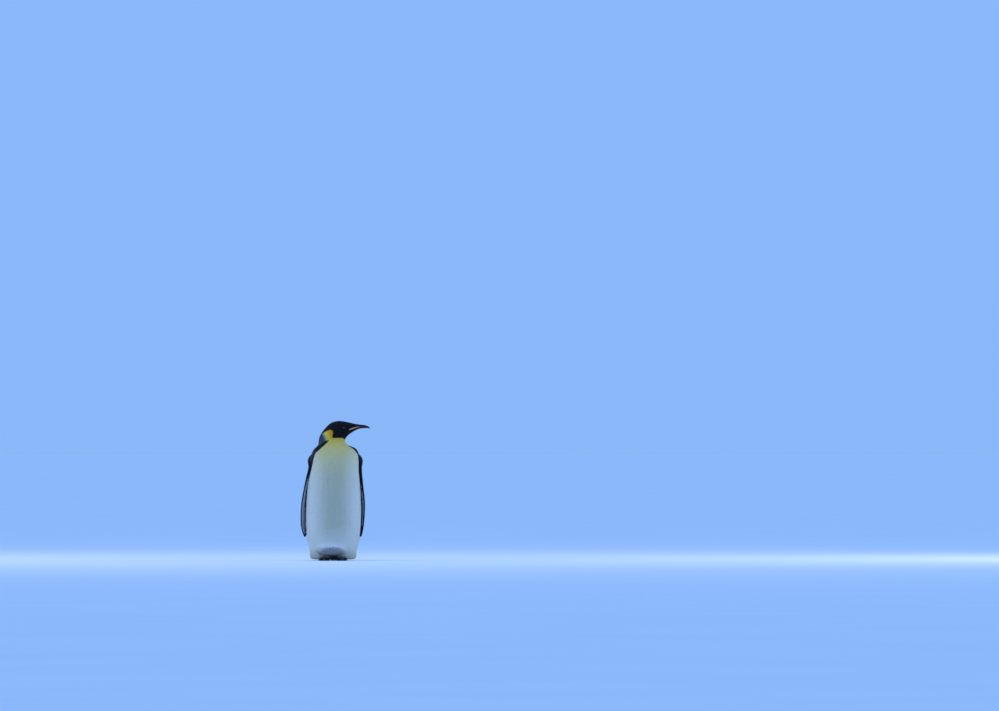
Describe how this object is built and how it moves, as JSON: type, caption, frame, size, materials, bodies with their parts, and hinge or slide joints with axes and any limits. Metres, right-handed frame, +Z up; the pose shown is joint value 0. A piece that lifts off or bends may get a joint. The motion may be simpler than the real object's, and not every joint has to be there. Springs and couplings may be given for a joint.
{
  "type": "emperor penguin",
  "caption": "Life-size still model of an adult emperor penguin standing upright at rest, head turned to its left, flippers hanging at its sides.",
  "frame": {"origin": "on the floor, at the middle of the bird's outline seen from above", "axes": "+Z up, the bird's belly faces -Y and its turned bill points along +X"},
  "size_m": [0.4752, 0.4266, 0.95],
  "materials": {
    "white_plumage": "dense soft feathers",
    "slate_plumage": "dense soft feathers",
    "black_plumage": "short velvety feathers",
    "bill_horn": "satin horn",
    "bill_plate": "smooth horny plate",
    "eye": "wet gloss",
    "foot_skin": "pebbled scaly skin",
    "claw_horn": "satin horn"
  },
  "bodies": {
    "root": {"trunk": "white_plumage", "neck": "slate_plumage", "head": "black_plumage", "bill_upper": "bill_horn", "bill_lower": "bill_horn", "bill_plate_left": "bill_plate", "bill_plate_right": "bill_plate", "eye_left": "eye", "eye_right": "eye", "flipper_left": "slate_plumage", "flipper_right": "slate_plumage", "brood_fold": "white_plumage", "tail": "slate_plumage", "leg_left": "white_plumage", "leg_right": "white_plumage", "foot_left": "foot_skin", "foot_right": "foot_skin", "claw_left_outer": "claw_horn", "claw_left_middle": "claw_horn", "claw_left_inner": "claw_horn", "claw_right_outer": "claw_horn", "claw_right_middle": "claw_horn", "claw_right_inner": "claw_horn"}
  },
  "joints": []
}
